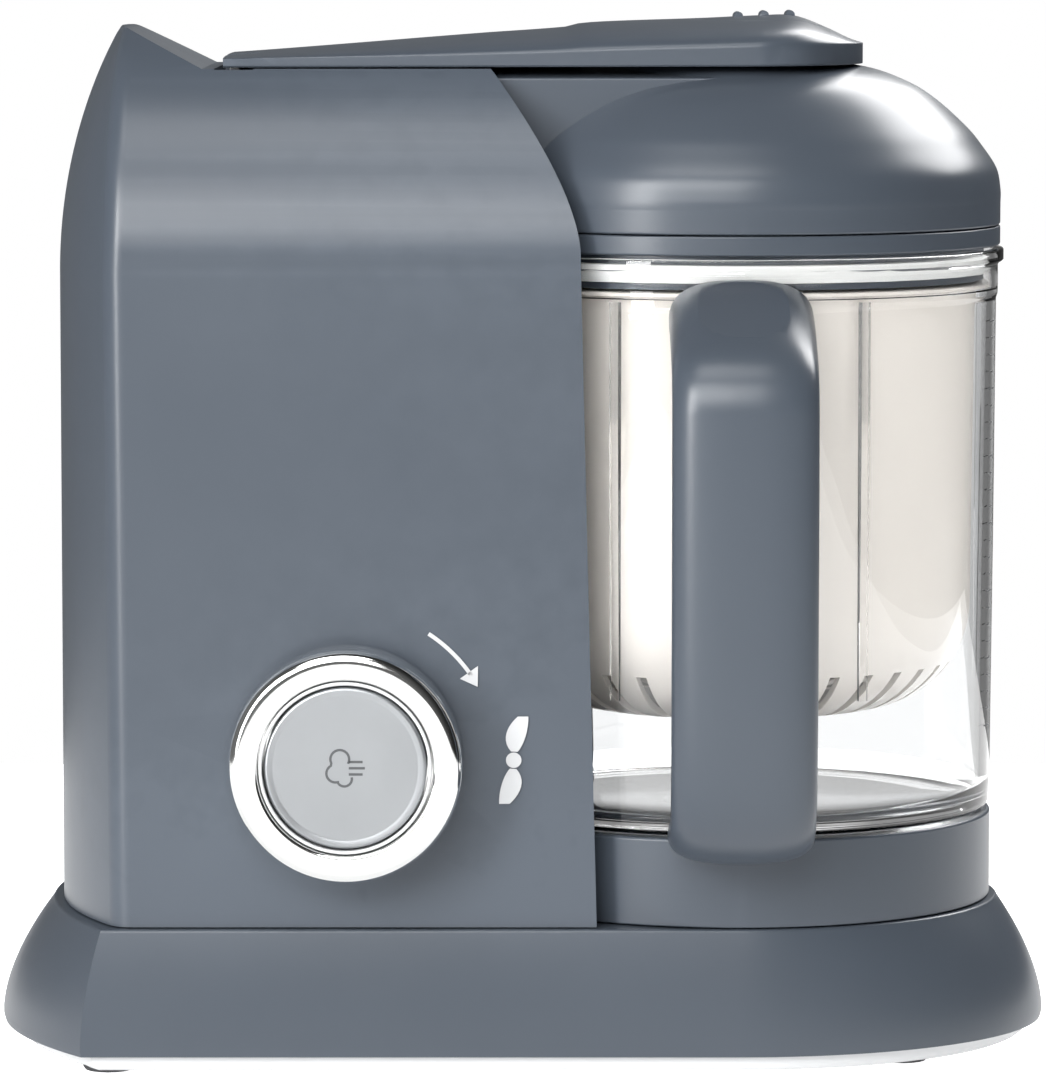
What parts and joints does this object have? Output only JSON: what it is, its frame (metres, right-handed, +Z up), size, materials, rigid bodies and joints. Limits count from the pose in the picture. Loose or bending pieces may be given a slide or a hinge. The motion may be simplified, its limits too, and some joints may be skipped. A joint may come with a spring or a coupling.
{
  "type": "baby food maker",
  "caption": "Counter-top baby food maker: a tower with boiler and motor, a handled jug with blade and steam basket, a domed lid and a hinged locking arm.",
  "frame": {"origin": "on the table under the middle of the whole appliance's box", "axes": "+X from the tower to the jug, +Y from the knob's side to the rear, +Z up"},
  "size_m": [0.2442, 0.164, 0.2393],
  "materials": {
    "body_plastic": "satin slate-grey moulded plastic",
    "silver_plastic": "silver-white gloss plastic",
    "rubber": "dark rubber",
    "steel": "stainless steel",
    "dark_plastic": "dark grey moulded plastic",
    "silicone": "translucent silicone",
    "copper": "copper winding and heater",
    "board_green": "circuit board",
    "chrome": "polished chrome",
    "light_ring": "pale translucent light ring",
    "brushed_silver": "satin silver disc",
    "clear_jug": "clear jug wall",
    "basket_cream": "cream translucent plastic"
  },
  "bodies": {
    "base": {"base_housing": "body_plastic", "bottom_cover": "silver_plastic", "foot_front_left": "rubber", "foot_front_right": "rubber", "foot_rear_left": "rubber", "foot_rear_right": "rubber", "front_shell": "body_plastic", "rear_shell": "body_plastic", "top_deck": "body_plastic", "boiler_cup": "steel", "boiler_heater": "copper", "thermostat": "steel", "steam_nozzle": "dark_plastic", "motor_housing": "steel", "motor_bracket": "dark_plastic", "control_board": "board_green", "rotary_switch": "dark_plastic", "arm_switch": "dark_plastic", "spindle_bearing_lower": "steel", "spindle_bearing_upper": "steel", "drive_seal": "silicone", "drive_belt": "rubber", "cord_gland": "rubber", "cover_screw_1": "steel", "cover_screw_2": "steel", "cover_screw_3": "steel", "cover_screw_4": "steel"},
    "motor_rotor": {"motor_shaft": "steel", "motor_armature": "copper", "cooling_fan": "dark_plastic", "motor_pulley": "dark_plastic"},
    "drive_spindle": {"spindle_shaft": "steel", "driven_pulley": "dark_plastic", "drive_dog": "dark_plastic"},
    "knob": {"knob_ring": "chrome", "light_ring": "light_ring", "button_spring": "steel"},
    "steam_button": {"steam_button": "brushed_silver"},
    "arm": {"arm_cover": "body_plastic", "arm_liner": "dark_plastic", "arm_tongue": "dark_plastic", "boiler_cap": "dark_plastic", "boiler_cap_seal": "silicone", "hinge_pin": "steel"},
    "release": {"release_button": "body_plastic"},
    "lid": {"lid_dome": "body_plastic", "lid_ring": "body_plastic", "lid_seal": "silicone", "steam_inlet_seal": "silicone"},
    "jug": {"jug_glass": "clear_jug", "jug_base_ring": "body_plastic", "jug_handle": "body_plastic", "blade_bush": "steel", "bush_nut": "dark_plastic"},
    "blade": {"blade_shaft": "steel", "drive_socket": "dark_plastic", "blade_hub": "steel", "blade": "steel", "blade_nut": "steel"},
    "basket": {"basket": "basket_cream"}
  },
  "joints": [
    {"name": "arm_hinge", "type": "hinge", "parent": "base", "child": "arm", "pos_m": [-0.0656, 0.018, 0.2264], "axis": [0, -1, 0], "range_deg": [0, 100]},
    {"name": "release_press", "type": "slide", "parent": "arm", "child": "release", "axis": [0, 0, -1], "range_m": [0, 0.0015], "stiffness_N_per_m": 600},
    {"name": "jug_lift", "type": "slide", "parent": "base", "child": "jug", "axis": [0, 0, 1], "range_m": [0, 0.0202]},
    {"name": "lid_lift", "type": "slide", "parent": "jug", "child": "lid", "axis": [0, 0, 1], "range_m": [0, 0.0551]},
    {"name": "basket_lift", "type": "slide", "parent": "jug", "child": "basket", "axis": [0, 0, 1], "range_m": [0, 0.0298]},
    {"name": "knob_turn", "type": "hinge", "parent": "base", "child": "knob", "pos_m": [-0.0397, -0.042, 0.0717], "axis": [0, 1, 0], "range_deg": [0, 40], "stiffness_Nm_per_rad": 0.2},
    {"name": "button_press", "type": "slide", "parent": "knob", "child": "steam_button", "axis": [0, 1, 0], "range_m": [0, 0.002], "stiffness_N_per_m": 500, "deforming": ["button_spring"]},
    {"name": "motor_spin", "type": "hinge", "parent": "base", "child": "motor_rotor", "pos_m": [-0.0631, 0.018, 0.06], "axis": [0, 0, 1], "continuous": true},
    {"name": "spindle_spin", "type": "hinge", "parent": "base", "child": "drive_spindle", "pos_m": [0.0489, 0.018, 0.02], "axis": [0, 0, 1], "continuous": true},
    {"name": "blade_spin", "type": "hinge", "parent": "jug", "child": "blade", "pos_m": [0.0489, 0.018, 0.06], "axis": [0, 0, 1], "continuous": true}
  ],
  "couplings": [
    {"joint": "jug_lift", "follows": "arm_hinge", "m_per_rad": 0.0115},
    {"joint": "lid_lift", "follows": "arm_hinge", "m_per_rad": 0.0315},
    {"joint": "basket_lift", "follows": "arm_hinge", "m_per_rad": 0.017},
    {"joint": "spindle_spin", "follows": "motor_spin", "ratio": 0.28571},
    {"joint": "blade_spin", "follows": "motor_spin", "ratio": 0.28571}
  ]
}
